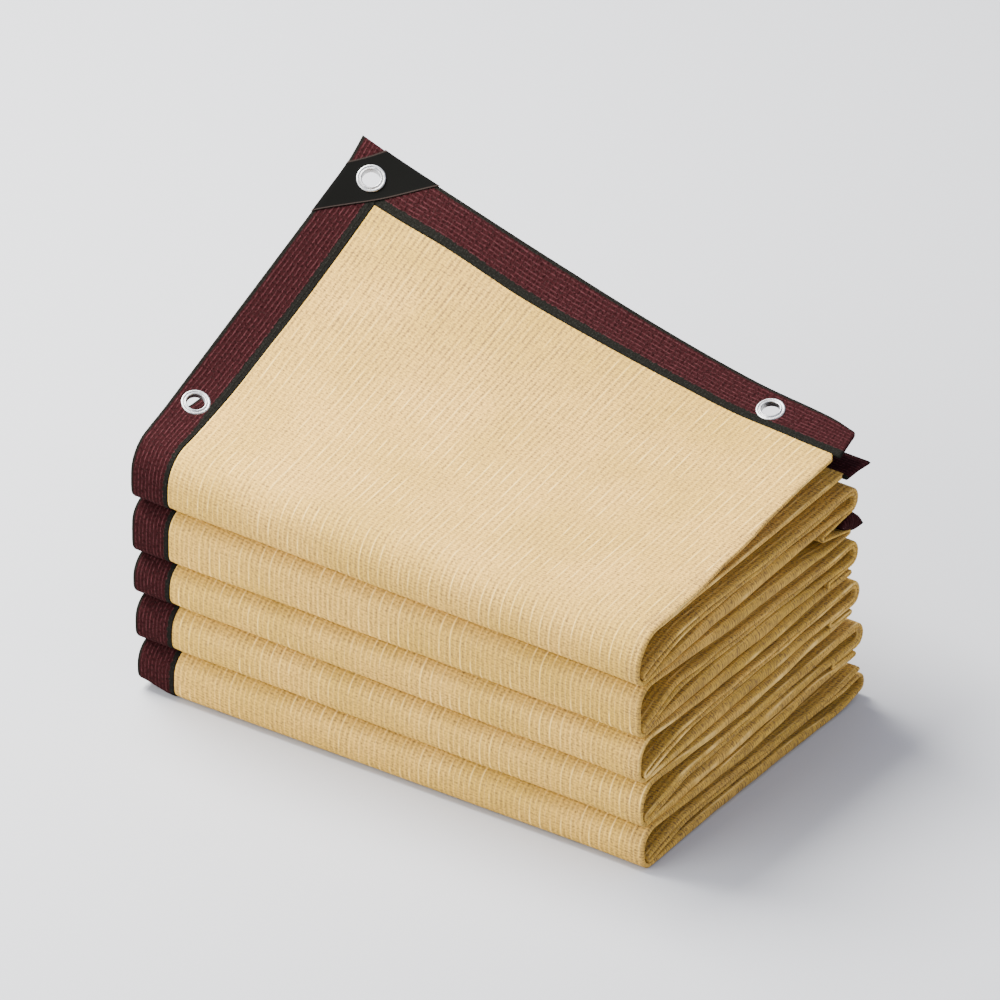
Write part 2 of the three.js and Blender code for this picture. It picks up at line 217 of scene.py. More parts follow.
# A corner of the section: depth y, height z, bend radius, steps round the bend, and roll, the half
# thickness that the ply swells to where it is folded at the right end.
def corner(y, z, radius=0.0, steps=0, roll=1.9):
    return {"y": y, "z": z, "radius": radius, "steps": steps, "roll": roll}


def front_wall(packet, shoulder, first):
    """The outer ply of a packet's front: from the shoulder round its bulge to its underside."""
    front = TOP_FRONT if first else SHEET / 2
    return [
        corner(front, shoulder, TOP_SHOULDER if first else SHOULDER, 12, 2.4),
        corner(front, packet["bottom"] + SHEET / 2, FRONT_FOOT, 9, 2.2),
    ]


def lower_plies(packet):
    """From the underside to the loop at the packet's back, and forward to its inner turn."""
    bottom, top, loop, back = (packet[c] for c in ("bottom", "top", "loop", "back"))
    inside = back - SHEET * 1.5 - PLY_GAP
    height = top - bottom
    lowest = packet["lowest"]
    rise = 0.0 if lowest else 0.15 * height
    wide = 5.5 if lowest else 0.16 * height
    middle = mix(bottom, top, 0.5)
    radius = LOOP_HALF * 0.9
    climb = 0 if lowest else mix(rise, loop - LOOP_HALF - bottom, 0.45)
    return [
        corner(120, bottom + SHEET / 2 + rise, roll=wide),
        corner(225 if lowest else 200, bottom + SHEET / 2 + climb, roll=wide),
        corner(back - LOOP_LENGTH, 3.0 if lowest else loop - LOOP_HALF, roll=2.6),
        corner(inside, loop - LOOP_HALF, radius, 7),
        corner(inside, loop + LOOP_HALF, radius, 7),
        corner(back - LOOP_LENGTH, loop + LOOP_HALF - 2),
        corner(66, middle - 2.2, 60, 3, 2.4),
        corner(9.5, bottom + FRONT_TURN, BEND, 5),
        corner(8.5, bottom + FRONT_TURN + FRONT_RISE, BEND, 5),
    ]


def upper_plies(packet, following):
    """From the inner turn over the loop, into the nip under it and on to the next front."""
    bottom, top, loop, back = (packet[c] for c in ("bottom", "top", "loop", "back"))
    hug = LOOP_HALF + SHEET + PLY_GAP
    run = [
        corner(62, mix(bottom, top, 0.5) + 3.4, 60, 3, 2.6),
        corner(back - LOOP_LENGTH, loop + hug - 2.4, roll=2.2),
    ]
    if not following:
        return run + [corner(back - TIP_DEPTH, loop + hug + 4)]
    under = loop - hug
    wedge = max(0.0, packet["notch"] - 5)
    nip, tip = back - NIP_DEPTH - 0.7 * wedge, back - TIP_DEPTH
    ply = under - packet["notch"]
    wide = 0.13 * (following["top"] - following["bottom"])
    start = ply - BEND_RISE
    front = following["top"] - SHEET / 2
    return run + [
        corner(back - SHEET / 2, loop + hug, hug * 0.9, 7),
        corner(back - SHEET / 2, under, hug * 0.9, 7),
        corner(nip, under - 0.22 * wedge, BEND, 5, 1.5),
        corner(nip, under - 0.22 * wedge - 5, 1.6, 5, 1.5),
        corner(tip, ply, 1.5, 5, 1.4),
        corner(tip, start + 2.2, 1.5, 5, 1.4),
        corner(nip + 3, start + 0.6, roll=1.9),
        corner(nip - 9, start + 4.0, roll=4.2),
        corner(225, mix(front, start, 0.7) - 0.5, roll=wide * 0.9),
        corner(130, mix(front, start, 0.3) - 3.5, roll=wide),
    ]


def fold_corners(x):
    """The section's corners from the top packet's front to the lowest ply's end."""
    corners = []
    for k, row in enumerate(PACKETS):
        packet = packet_at(k, x)
        following = packet_at(k + 1, x) if k + 1 < len(PACKETS) else None
        first = k == 0
        if first:
            shoulder = flap_mid(x + row["shift"], FLAP_FRONT)
        else:
            shoulder = packet["top"] - SHEET / 2 - PLY_GAP
        plies = front_wall(packet, shoulder, first) + lower_plies(packet)
        plies += upper_plies(packet, following)
        for n, c in enumerate(plies):
            late = following and n >= len(plies) - 2
            c["shift"] = following["shift"] if late else row["shift"]
        corners += plies
    return corners


def sheet_corners(x, depths):
    """The whole section's corners: the flap from its far edge, then the folds."""
    shift = PACKETS[0]["shift"]
    flap = [corner(y, flap_mid(x + shift, y), roll=1.9) for y in depths]
    for c in flap:
        c["shift"] = shift
    return flap + fold_corners(x)


def round_corners(corners):
    """Points along a row of corners with rounded bends: [y, z, shift, roll]."""
    points = []
    for i, c in enumerate(corners):
        if not c["radius"]:
            points.append([c["y"], c["z"], c["shift"], c["roll"]])
            continue
        here = Vector((c["y"], c["z"]))
        before = (Vector((corners[i - 1]["y"], corners[i - 1]["z"])) - here).normalized()
        after = (Vector((corners[i + 1]["y"], corners[i + 1]["z"])) - here).normalized()
        half = math.acos(min(max(before.dot(after), -1.0), 1.0)) / 2
        reach = c["radius"] / math.tan(half)
        middle = here + (before + after).normalized() * (c["radius"] / math.sin(half))
        start = here + before * reach - middle
        end = here + after * reach - middle
        turn = math.atan2(end.y, end.x) - math.atan2(start.y, start.x)
        turn = (turn + math.pi) % (2 * math.pi) - math.pi
        for n in range(c["steps"] + 1):
            p = Matrix.Rotation(turn * n / c["steps"], 2) @ start + middle
            points.append([p.x, p.y, c["shift"], c["roll"]])
    return points


def run_counts(points, step):
    """How many pieces each run between points is cut into."""
    return [
        max(1, round(math.dist(a[:2], b[:2]) / step)) for a, b in zip(points, points[1:])
    ]


def cut_runs(points, counts):
    """The same path with every run cut into its own number of pieces."""
    path = []
    for a, b, count in zip(points, points[1:], counts):
        for n in range(count):
            path.append([mix(p, q, n / count) for p, q in zip(a, b)])
    return path + [points[-1]]


def soften(path, rounds):
    """Rounds a path off a little, its ends kept."""
    for _ in range(rounds):
        path = (
            [path[0]]
            + [
                [(a[n] + 2 * b[n] + c[n]) / 4 for n in range(4)]
                for a, b, c in zip(path, path[1:], path[2:])
            ]
            + [path[-1]]
        )
    return path


def lengths(path):
    """Distance along a path, at each of its points."""
    total, out = 0.0, [0.0]
    for a, b in zip(path, path[1:]):
        total += math.dist(a[:2], b[:2])
        out.append(total)
    return out


def closed_sheet(name, grid, halves, across, down):
    """A closed sheet round a grid of mid points, with its own half thickness at each of them.

    across and down are the pattern's two coordinates at each point, in millimetres, and become the
    piece's UV map in metres.
    """
    rows, columns = len(grid), len(grid[0])
    tops, bottoms = [], []
    for i in range(rows):
        for j in range(columns):
            p = grid[i][j]
            du = grid[i][min(j + 1, columns - 1)] - grid[i][max(j - 1, 0)]
            dv = grid[min(i + 1, rows - 1)][j] - grid[max(i - 1, 0)][j]
            normal = du.cross(dv).normalized()
            tops.append(p + normal * halves[i][j] * MM)
            bottoms.append(p - normal * halves[i][j] * MM)
    layer = rows * columns
    faces, corners = [], []

    def add(*refs):
        faces.append([(r[2] * layer) + r[0] * columns + r[1] for r in refs])
        corners.extend((across[r[0]][r[1]] * MM, down[r[0]][r[1]] * MM) for r in refs)

    for i in range(rows - 1):
        for j in range(columns - 1):
            add((i, j, 0), (i, j + 1, 0), (i + 1, j + 1, 0), (i + 1, j, 0))
            add((i, j, 1), (i + 1, j, 1), (i + 1, j + 1, 1), (i, j + 1, 1))
    for i in range(rows - 1):
        add((i, 0, 0), (i + 1, 0, 0), (i + 1, 0, 1), (i, 0, 1))
        last = columns - 1
        add((i, last, 1), (i + 1, last, 1), (i + 1, last, 0), (i, last, 0))
    for j in range(columns - 1):
        add((0, j, 1), (0, j + 1, 1), (0, j + 1, 0), (0, j, 0))
        last = rows - 1
        add((last, j, 0), (last, j + 1, 0), (last, j + 1, 1), (last, j, 1))
    mesh = bpy.data.meshes.new(name)
    mesh.from_pydata(tops + bottoms, [], faces)
    layer_uv = mesh.uv_layers.new(name="UVMap")
    for n, uv in enumerate(corners):
        layer_uv.data[n].uv = uv
    piece = bpy.data.objects.new(name, mesh)
    bpy.context.scene.collection.objects.link(piece)
    close_up(piece)
    return piece


def close_up(piece):
    """Welds edges that meet, points the faces out and smooths the shading."""
    bpy.ops.object.select_all(action="DESELECT")
    piece.select_set(True)
    bpy.context.view_layer.objects.active = piece
    bpy.ops.object.mode_set(mode="EDIT")
    bpy.ops.mesh.select_all(action="SELECT")
    bpy.ops.mesh.remove_doubles(threshold=0.00001)
    bpy.ops.mesh.normals_make_consistent(inside=False)
    bpy.ops.object.mode_set(mode="OBJECT")
    bpy.ops.object.shade_smooth_by_angle(angle=math.radians(50))


# Distances from a sheet's rounded end, dense at the rim.
RIM_STEPS = (0.0, 0.25, 0.8, 1.6, 2.8, 4.2, 5.8, 7.6)
RIM_STEPS += (10.0, 13.0, 17.0, 22.0, 29.0, 38.0, 50.0, 64.0)
EDGE_STEPS = (0.0, 0.25, 0.8, 1.7)


def rim(distance, half):
    """How much of a half thickness is left at a distance from a rounded end."""
    reach = half * 1.05
    if distance >= reach:
        return 1.0
    return math.sqrt(max(0.0, 1 - (1 - distance / reach) ** 2))


# The cloth: half thickness, how far under the binding it starts, its columns' spacing, how far from
# the right end its folded plies swell, and its thinning under the binding.
CLOTH_HALF = 1.35
CLOTH_START = 33.5
CLOTH_STEP = 11.0
ROLL_REACH = 58.0
UNDER_TAPE = 0.55


def wander(a, b, size, seed):
    """A slow random drift, for the unevenness of hand-folded cloth."""
    return noise.noise(Vector((a / size, b / size, seed)))


def cloth_columns():
    """Distances from the right end at which the cloth's section is worked out."""
    span = FLAP_RIGHT - CLOTH_START
    steps = list(RIM_STEPS)
    while steps[-1] + CLOTH_STEP < span - 4:
        steps.append(steps[-1] + CLOTH_STEP)
    return [span] + steps[::-1]


def flap_depths(start, end, step):
    """Even depths from start forward to end, about step apart."""
    count = round((start - end) / step)
    return [mix(start, end, n / count) for n in range(count + 1)]


def cloth_grid():
    """Mid points, half thickness and pattern coordinates of the whole folded cloth."""
    depths = flap_depths(FLAP_INNER + 1.5, 44.0, 9.0)
    middle = round_corners(sheet_corners(256.0, depths))
    counts = run_counts(middle, 13.0)
    columns = []
    for distance in cloth_columns():
        x = RIGHT_END - distance * (RIGHT_END - CLOTH_START) / (FLAP_RIGHT - CLOTH_START)
        path = soften(cut_runs(round_corners(sheet_corners(x, depths)), counts), 2)
        columns.append((distance, x, path, lengths(path)))
    grid, halves, across, down = [], [], [], []
    for i in range(len(columns[0][2])):
        line, thick, us, vs = [], [], [], []
        for distance, x, path, run in columns:
            y, z, shift, roll = path[i]
            end = 3.0 + 1.5 * wander(run[i], 0.0, 40.0, 3.1)
            if run[i] < 285:
                end -= 8.0 * smooth((y - 90) / 200)
            if run[i] < 10:
                end -= 5.0 * (1 - math.sqrt(1 - (1 - run[i] / 10) ** 2))
            swell = smooth(1 - distance / ROLL_REACH)
            half = mix(CLOTH_HALF, roll, swell)
            half *= mix(UNDER_TAPE, 1.0, smooth((x - TAPE_WIDTH - 0.5) / 4))
            if run[i] < 30:
                half *= mix(UNDER_TAPE, 1.0, smooth((run[i] - 2.0) / 4))
            px = x + shift + end * swell
            sway = 0.5 * wander(px, run[i], 45.0, 7.7) * (0.0 if z < 8 else 1.0)
            line.append(place(px, y, max(z, half) + sway))
            thick.append(half * rim(distance, half))
            us.append(px)
            vs.append(run[i])
        grid.append(line)
        halves.append(thick)
        across.append(us)
        down.append(vs)
    return grid, halves, across, down


def under_grid():
    """The hidden ply under the flap, out to its own binding."""
    shift = PACKETS[0]["shift"]
    grid, halves, across, down = [], [], [], []
    depths = flap_depths(FLAP_INNER + 4.5, 25.0, 8.0)
    for y in depths:
        line, thick, us, vs = [], [], [], []
        for distance in cloth_columns():
            x = RIGHT_END - distance * (RIGHT_END - CLOTH_START) / (FLAP_RIGHT - CLOTH_START)
            z = under_height(x, y)
            half = mix(CLOTH_HALF, 2.2, smooth(1 - distance / ROLL_REACH))
            half *= mix(UNDER_TAPE, 1.0, smooth((x - TAPE_WIDTH - 0.5) / 4))
            line.append(place(x + shift, y, z))
            thick.append(half * rim(distance, half))
            us.append(x)
            vs.append(y)
        grid.append(line)
        halves.append(thick)
        across.append(us)
        down.append(vs)
    return grid, halves, across, down


def under_height(x, y):
    """Height of the hidden ply, which leaves the flap's underside at the front."""
    t = along_stack(x)
    rows = [
        (25.0, flap_mid(x + PACKETS[0]["shift"], 25.0) - 1.2),
        (36.0, flap_mid(x + PACKETS[0]["shift"], 36.0) - SHEET - 1.4),
    ]
    rows += [(depth, mix(left, right, t)) for depth, left, right in UNDER_PLY]
    for (ya, za), (yb, zb) in zip(rows, rows[1:]):
        if y <= yb:
            return mix(za, zb, (y - ya) / (yb - ya))
    return rows[-1][1]


TAPE_HALF = 1.75
TAPE_OVERLAP = 0.6


def tape_columns(width):
    """Distances across a tape, dense at both rounded edges."""
    inner = [width * n / 10 for n in range(1, 10)]
    return [*EDGE_STEPS, *inner, *(width - e for e in EDGE_STEPS[::-1])]


def tape_half(u, width, half=TAPE_HALF):
    """Half thickness across a tape, rounded at both edges."""
    return half * min(rim(u, half), rim(width - u, half))


def side_tape_grid():
    """The binding from the flap's far corner down its side and round all the folds."""
    width = TAPE_WIDTH - LEFT_END + TAPE_OVERLAP
    depths = flap_depths(FLAP_FAR, 44.0, 8.0)
    middle = round_corners(sheet_corners(20.0, depths))
    counts = run_counts(middle, 16.0)
    columns = []
    for u in tape_columns(width):
        x = LEFT_END + u
        path = soften(cut_runs(round_corners(sheet_corners(x, depths)), counts), 2)
        columns.append((u, x, path, lengths(path)))
    grid, halves, across, down = [], [], [], []
    rows = len(columns[0][2])
    for i in range(rows):
        end = min(columns[0][3][i], columns[0][3][-1] - columns[0][3][i])
        grid.append([place(x + path[i][2], path[i][0], path[i][1]) for u, x, path, run in columns])
        halves.append([tape_half(u, width) * rim(end, TAPE_HALF) for u, x, path, run in columns])
        across.append([u for u, x, path, run in columns])
        down.append([run[i] for u, x, path, run in columns])
    return grid, halves, across, down


def under_side_grid():
    """The binding on the side edge of the hidden ply under the flap."""
    width = TAPE_WIDTH - LEFT_END + TAPE_OVERLAP
    shift = PACKETS[0]["shift"]
    us = tape_columns(width)
    depths = flap_depths(FLAP_INNER + 1.0, 27.0, 8.0)
    ends = [min(depths[0] - y, y - depths[-1]) for y in depths]
    xs = [LEFT_END + u for u in us]
    grid = [[place(x + shift, y, under_height(x, y)) for x in xs] for y in depths]
    halves = [[tape_half(u, width) * rim(end, TAPE_HALF) for u in us] for end in ends]
    across = [us for _ in depths]
    down = [[y for _ in us] for y in depths]
    return grid, halves, across, down


def plate_grid(xs, us, point, half):
    """A strip that runs along x: xs along it, us across it from its outer edge."""
    grid = [[point(x, u) for x in xs] for u in us]
    halves = [[half(x, u) for x in xs] for u in us]
    across = [[u for x in xs] for u in us]
    down = [[x for x in xs] for u in us]
    return grid, halves, across, down


def strip_ends(start, end, step):
    """Places along a strip, dense at both ends."""
    count = round((end - start - 6) / step)
    inner = [mix(start + 3, end - 3, n / count) for n in range(count + 1)]
    return [start + e for e in EDGE_STEPS] + inner + [end - e for e in EDGE_STEPS[::-1]]


def far_tape_grid():
    """The binding along the flap's far edge; its right end is cut a little askew and hooks down."""
    width = FLAP_FAR - FLAP_INNER + TAPE_OVERLAP
    start = TAPE_WIDTH + PACKETS[0]["shift"] - 4.0
    xs = strip_ends(start, FLAP_RIGHT, 6.0)

    def point(x, u):
        y = FLAP_FAR - u
        t = smooth((x - 470) / 36)
        skew = 8 * (1 - u / width) * t
        round_off = 2 * max(0.0, 1 - u / 7) ** 2 * t
        hook = 1.5 * max(0.0, 1 - u / 14) ** 1.5 * smooth((x - 484) / 22)
        px = x - skew - round_off
        return place(px, y - 1.5 * t * max(0.0, 1 - u / 7), flap_mid(min(px, FLAP_RIGHT), y) - hook)

    def half(x, u):
        tuck = mix(0.8, 1.0, smooth((x - start - 3) / 4))
        ends = min(rim(x - start, TAPE_HALF), rim(xs[-1] - x, TAPE_HALF))
        return tape_half(u, width) * tuck * ends

    return plate_grid(xs, tape_columns(width), point, half)


def strip_grid(start, end, rows, half):
    """A straight strip of binding on a hidden ply's edge. rows: depth, height left and right."""
    far, near = rows[-1][0], rows[0][0]
    width = far - near
    xs = strip_ends(start, end, 12.0)

    def point(x, u):
        y = far - u
        t = along_stack(x)
        for a, b in zip(rows, rows[1:]):
            if y <= b[0] + 1e-6:
                s = (y - a[0]) / (b[0] - a[0])
                return place(x, y, mix(mix(a[1], a[2], t), mix(b[1], b[2], t), s))
        return place(x, y, rows[-1][1])

    def thick(x, u):
        bulge = half * math.exp(-(((u - 14) / 13) ** 4))
        swell = mix(TAPE_HALF, max(TAPE_HALF, bulge), smooth((x - end + 60) / 45))
        return tape_half(u, width, swell) * min(rim(x - start, swell), rim(end - x, swell))

    return plate_grid(xs, tape_columns(width), point, thick)


# The patch: its two edges' distances from the corner along the cloth's edges, how far its middle
# bows out, its height over the flap's middle, and its half thickness.
PATCH_INNER = 24.5
PATCH_OUTER = 80.0
PATCH_BOW = 6.0
PATCH_LIFT = 2.5
PATCH_HALF = 0.55


def patch_grid():
    """A band across the flap's corner between two lines at 45 degrees."""
    legs = [mix(PATCH_INNER, PATCH_OUTER, t / 16) for t in range(17)]
    legs = [legs[0], legs[0] + 0.4] + legs[1:-1] + [legs[-1] - 0.4, legs[-1]]
    columns = 24
    grid, halves, across, down = [], [], [], []
    for leg in legs:
        line, thick = [], []
        for c in range(columns + 1):
            t = c / columns
            bow = PATCH_BOW * 2 * t * (1 - t) * (leg - PATCH_INNER) / (PATCH_OUTER - PATCH_INNER)
            x = FLAP_LEFT + 0.6 + (leg - 1.2) * t - bow
            y = FLAP_FAR - 0.6 - (leg - 1.2) * (1 - t) + bow
            line.append(place(x, y, flap_mid(x, y) + PATCH_LIFT))
            edge = min(t, 1 - t) * leg * 1.4
            side = min(leg - PATCH_INNER, PATCH_OUTER - leg)
            bead = 0.35 * math.exp(-(((side - 1.2) / 0.9) ** 2))
            thick.append((PATCH_HALF + bead) * min(rim(edge, 0.8), rim(side, 0.5)))
        grid.append(line)
        halves.append(thick)
        across.append([leg - PATCH_INNER for _ in line])
        down.append([(c / columns - 0.5) * leg * 1.4 for c in range(columns + 1)])
    return grid, halves, across, down


# Shader sockets as Python values
class Mark:
    """A socket that Python's own operators add Math nodes to."""

    def __init__(self, shader, socket):
        self.shader = shader
        self.socket = socket

    def _math(self, operation, *values):
        return self.shader.node("ShaderNodeMath", values, operation=operation)

    def __add__(self, other):
        return self._math("ADD", self, other)

    def __radd__(self, other):
        return self._math("ADD", other, self)

    def __sub__(self, other):
        return self._math("SUBTRACT", self, other)

    def __rsub__(self, other):
        return self._math("SUBTRACT", other, self)

    def __mul__(self, other):
        return self._math("MULTIPLY", self, other)

    def __rmul__(self, other):
        return self._math("MULTIPLY", other, self)

    def __truediv__(self, other):
        return self._math("DIVIDE", self, other)

    def fract(self):
        return self._math("FRACT", self)

    def absolute(self):
        return self._math("ABSOLUTE", self)

    def sine(self):
        return self._math("SINE", self)

    def ramp(self, low, high):
        """0 at low and 1 at high, smooth between; low may be the larger."""
        return self.shader.node(
            "ShaderNodeMapRange",
            {"Value": self, "From Min": low, "From Max": high},
            interpolation_type="SMOOTHSTEP",
            clamp=True,
        )

    def band(self, middle, width, soft):
        """1 within width of middle, falling to 0 over soft."""
        return (self - middle).absolute().ramp(width / 2 + soft, width / 2)


class Shader:
    """One material's node tree."""

    def __init__(self, name, roughness, specular=0.5, metallic=0.0):
        self.material = bpy.data.materials.new(name)
        self.material.use_nodes = True
        self.tree = self.material.node_tree
        self.surface = self.tree.nodes["Principled BSDF"]
        self.surface.inputs["Roughness"].default_value = roughness
        self.surface.inputs["Specular IOR Level"].default_value = specular
        self.surface.inputs["Metallic"].default_value = metallic

    def node(self, kind, values=(), output=0, **settings):
        made = self.tree.nodes.new(kind)
        for key, value in settings.items():
            setattr(made, key, value)
        pairs = values.items() if isinstance(values, dict) else enumerate(values)
        for key, value in pairs:
            self.feed(made.inputs[key], value)
        return Mark(self, made.outputs[output])

    def feed(self, socket, value):
        if isinstance(value, Mark):
            self.tree.links.new(value.socket, socket)
        elif isinstance(value, tuple) and len(value) == 3 and socket.type == "RGBA":
            socket.default_value = (*value, 1.0)
        else:
            socket.default_value = value

    def map(self):
        """The piece's own map as two values in millimetres: across and along."""
        uv = self.node("ShaderNodeUVMap", uv_map="UVMap")
        split = self.tree.nodes.new("ShaderNodeSeparateXYZ")
        self.tree.links.new(uv.socket, split.inputs[0])
        return Mark(self, split.outputs[0]) * 1000.0, Mark(self, split.outputs[1]) * 1000.0

    def point(self, x, y, z=0.0):
        return self.node("ShaderNodeCombineXYZ", (x, y, z))

    def noise(self, where, scale, detail=2.0, roughness=0.5):
        values = {"Vector": where, "Scale": scale, "Detail": detail, "Roughness": roughness}
        return self.node("ShaderNodeTexNoise", values)

    def blend(self, factor, a, b):
        made = self.tree.nodes.new("ShaderNodeMix")
        made.data_type = "RGBA"
        colours = [s for s in made.inputs if s.type == "RGBA"]
        self.feed(made.inputs[0], factor)
        self.feed(colours[0], a)
        self.feed(colours[1], b)
        return Mark(self, [s for s in made.outputs if s.type == "RGBA"][0])

    def bump(self, height, distance, strength=1.0):
        values = {"Height": height, "Distance": distance, "Strength": strength}
        normal = self.node("ShaderNodeBump", values)
        self.feed(self.surface.inputs["Normal"], normal)

    def colour(self, value):
        self.feed(self.surface.inputs["Base Color"], value)


# The knit's rungs, and the folded right end with its own fine ticks and painted shade, in
# millimetres.
KNIT_PITCH = 2.6
TICK_PITCH = 2.9
END_ZONE_START = 492.0
END_ZONE_STOP = 503.0


def cloth_material(settings):
    """Knitted mesh: a pale cord every centimetre, a furrow midway, and short rungs between them."""
    s = Shader("Knitted mesh", 0.9, 0.12)
    u, v = s.map()
    drift = s.noise(s.point(u, v * 0.3), 0.02, 2.0) * 7.0
    rib = ((u + drift) / settings.rib_pitch).fract()
    fade = s.noise(s.point(u * 0.6, v), 0.03, 2.0).ramp(0.38, 0.64)
    worn = s.noise(s.point(u * 1.5, v * 0.3), 0.16, 3.0, 0.6)
    # Near the lifted corner the cloth is taut: its furrows show there more than its cords.
    taut = v.ramp(210.0, 60.0) * u.ramp(420.0, 240.0)
    main_cord = rib.band(0.5, 0.06, 0.07) * (fade * 0.8 + 0.12)
    minor_cord = (rib - 0.5).absolute().ramp(0.44, 0.5) * (0.45 - fade * 0.2)
    ridge = (main_cord + minor_cord) * (worn.ramp(0.3, 0.6) * 0.7 + 0.3) * (1.0 - taut * 0.55)
    furrow = (rib * 2.0).fract().band(0.5, 0.12, 0.24) * worn.ramp(0.75, 0.35)
    grain = s.noise(s.point(u, v), 0.42, 4.0, 0.7)
    jitter = s.noise(s.point(u, v * 0.6), 0.22, 2.0) * 5.0
    rung = (v * (2 * math.pi / KNIT_PITCH) + jitter).sine() * 0.5 + 0.5
    specks = s.noise(s.point(u * 0.8, v), 0.42, 3.0, 0.7).ramp(0.58, 0.74)
    broad = s.noise(s.point(u, v), 0.011, 3.0).ramp(0.30, 0.70)
    # The folded right end: the knit's fine cut ticks, plus painted shade. Noisy patches darken it
    # where the plies fold away from the light, and a slight shift toward the blush colour paints
    # the warmer tone of that shaded face.
    ends = u.ramp(END_ZONE_START, END_ZONE_STOP)
    tick = ((v + jitter * 1.3) / TICK_PITCH).fract().band(0.5, 0.3, 0.3)
    painted_end_shade = s.noise(s.point(u * 0.3, v), 0.045, 3.0).ramp(0.42, 0.66)
    # The middle of the flap is the palest part.
    top = v.band(190.0, 150.0, 110.0)
    blush = broad * 0.6 + top * 0.35 + ends * 0.15
    ground = s.blend(blush, tuple(settings.ground_colour), tuple(settings.blush_colour))
    gaps = rung * (1.0 - ridge) * 0.26 + grain.ramp(0.45, 0.63) * 0.56
    gaps = gaps + furrow * (taut * 0.24 + 0.28)
    # Painted shade at the folded right end: the mottled patches darken it toward the furrow colour,
    # along with the ticks.
    gaps = gaps + ends * (tick * 0.16 + painted_end_shade * 0.12)
    ground = s.blend(gaps, ground, tuple(settings.furrow_and_end_shade_colour))
    ground = s.blend(specks * 0.6, ground, tuple(settings.speck_colour))
    ground = s.blend(ridge * 0.7, ground, tuple(settings.rib_colour))
    s.colour(ground)
    s.bump(ridge * 0.9 - furrow * 0.4 - rung * 0.4 + grain * 0.8 - ends * tick * 0.25, 0.0007, 0.6)
    return s.material


CROSS_PITCH = 4.8


def tape_material(name, settings, crossed):
    """Ribbed binding: dark red ribs between a thin black outer edge and a wide black inner band."""
    s = Shader(name, 0.95, 0.02)
    u, v = s.map()
    ragged = (s.noise(s.point(u * 0.4, v), 0.3, 4.0, 0.7) - 0.5) * 6.5
    sway = (s.noise(s.point(u * 0.2, v * 0.5), 0.12, 2.0) - 0.5) * 1.6
    rib = ((u - 3.0 + sway) / settings.rib_pitch).fract()
    worn = s.noise(s.point(u * 1.2, v * 0.5), 0.30, 3.0, 0.7)
    ridge = rib.band(0.5, 0.10, 0.20) * (worn.ramp(0.62, 0.36) * 0.7 + 0.3)
    stitches = s.noise(s.point(u * 1.1, v * 0.8), 0.5, 4.0, 0.75)
    red = s.blend(ridge, tuple(settings.ground_colour), tuple(settings.ridge_colour))
    red = s.blend(stitches.ramp(0.47, 0.60) * 0.9, red, tuple(settings.gap_colour))
    height = ridge * 0.8 + stitches * 0.6
    if crossed:
        cross = (v / CROSS_PITCH + sway * 0.2).fract().band(0.5, 0.08, 0.16)
        red = s.blend(cross * 0.14, red, tuple(settings.ridge_colour))
        blocks = (v / (2 * CROSS_PITCH)).fract().ramp(0.3, 0.7) * stitches.ramp(0.4, 0.6)
        red = s.blend(blocks * 0.3, red, tuple(settings.gap_colour))
        height = height + cross * 0.2
    fleck = s.noise(s.point(u, v), 0.55, 4.0, 0.8).ramp(0.50, 0.68)
    black = s.blend(fleck * 0.7, tuple(settings.black_colour), tuple(settings.fleck_colour))
    red = s.blend(fleck * 0.3, red, tuple(settings.fleck_colour))
    # Past the flap's front the side binding's black band narrows a little.
    slack = 0.0 if crossed else v.ramp(285.0, 335.0) * 2.8
    inner = (u + ragged - slack).ramp(TAPE_WIDTH - 6.6, TAPE_WIDTH - 5.6)
    outer = (u + ragged * 0.3).ramp(3.2, 2.4)
    s.colour(s.blend(inner + outer, red, black))
    s.bump(height, 0.0008, 0.6)
    return s.material


def patch_material(settings):
    """Smooth black reinforcing sheet with fine pits and grey-brown edge threads."""
    s = Shader("Reinforcing patch", 0.9, 0.02)
    u, v = s.map()
    width = PATCH_OUTER - PATCH_INNER
    grain = s.noise(s.point(u, v), 0.7, 2.0)
    edge = ((u - width / 2).absolute()).band(width / 2 - 1.2, 1.0, 0.5)
    s.colour(s.blend(edge * 0.8, tuple(settings.patch_colour), tuple(settings.thread_colour)))
    twist = (v * 2.2).sine() * edge
    s.bump(grain * 0.4 + twist * 0.4, 0.0004, 0.35)
    return s.material


def metal_material(settings):
    """Bright rolled metal, faintly brushed."""
    s = Shader("Eyelet metal", 0.3, 0.5, 1.0)
    where = s.node("ShaderNodeTexCoord", output="Object")
    scuff = s.noise(where, 420.0, 3.0)
    bright = tuple(settings.bright_colour)
    s.colour(s.blend(scuff.ramp(0.35, 0.7), tuple(settings.scuffed_colour), bright))
    s.feed(s.surface.inputs["Roughness"], scuff * 0.2 + 0.32)
    return s.material


def floor_material():
    """Plain and pale."""
    s = Shader("Pale floor", 0.9, 0.1)
    s.colour((0.5, 0.5, 0.5))
    return s.material


# Settings that a user may change
def tone(name, description, default):
    limits = {"subtype": "COLOR", "size": 3, "min": 0.0, "max": 1.0}
    return bpy.props.FloatVectorProperty(
        name=name, description=description, default=default, **limits
    )


def pitch(description, default):
    return bpy.props.FloatProperty(
        name="Rib pitch", description=description, default=default, min=2.0, max=20.0
    )


class ClothSettings(bpy.types.PropertyGroup):
    rib_pitch: pitch("Spacing of the cloth's pale cords, in millimetres", 10.2)
    ground_colour: tone("Ground", "Ground colour of the mesh", (0.60, 0.36, 0.046))
    blush_colour: tone("Blush", "Paler, pinker patches of the mesh", (0.78, 0.45, 0.09))
    # The furrow colour also carries the painted shade at the cloth's folded right end.
    furrow_and_end_shade_colour: tone("Furrow", "Furrows and gaps between the threads", (0.20, 0.12, 0.042))
    speck_colour: tone("Speck", "Dark specks in the open stitches", (0.11, 0.066, 0.028))
    rib_colour: tone("Rib", "Raised pale cords", (0.95, 0.66, 0.22))


